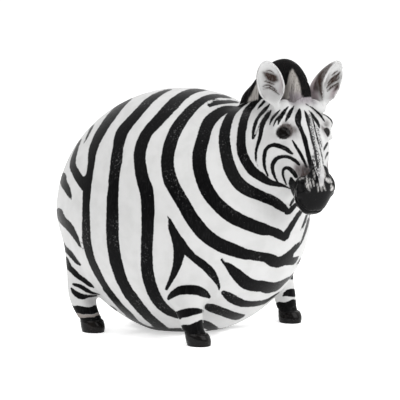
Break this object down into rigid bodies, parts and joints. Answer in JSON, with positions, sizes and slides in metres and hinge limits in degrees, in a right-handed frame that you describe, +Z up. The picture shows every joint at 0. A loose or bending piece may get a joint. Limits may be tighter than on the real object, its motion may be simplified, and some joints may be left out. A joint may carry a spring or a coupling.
{
  "type": "animal figurine",
  "caption": "Round, ball-bodied standing zebra figurine with four short legs, a clipped mane and its head turned to its right; one painted casting",
  "frame": {"origin": "On the floor, under the middle of the figure's bounding box", "axes": "+Z up; the body faces -Y and its right side is towards -X"},
  "size_m": [0.1814, 0.2412, 0.2],
  "materials": {
    "painted_resin": "satin"
  },
  "bodies": {
    "root": {"zebra": "painted_resin"}
  },
  "joints": []
}
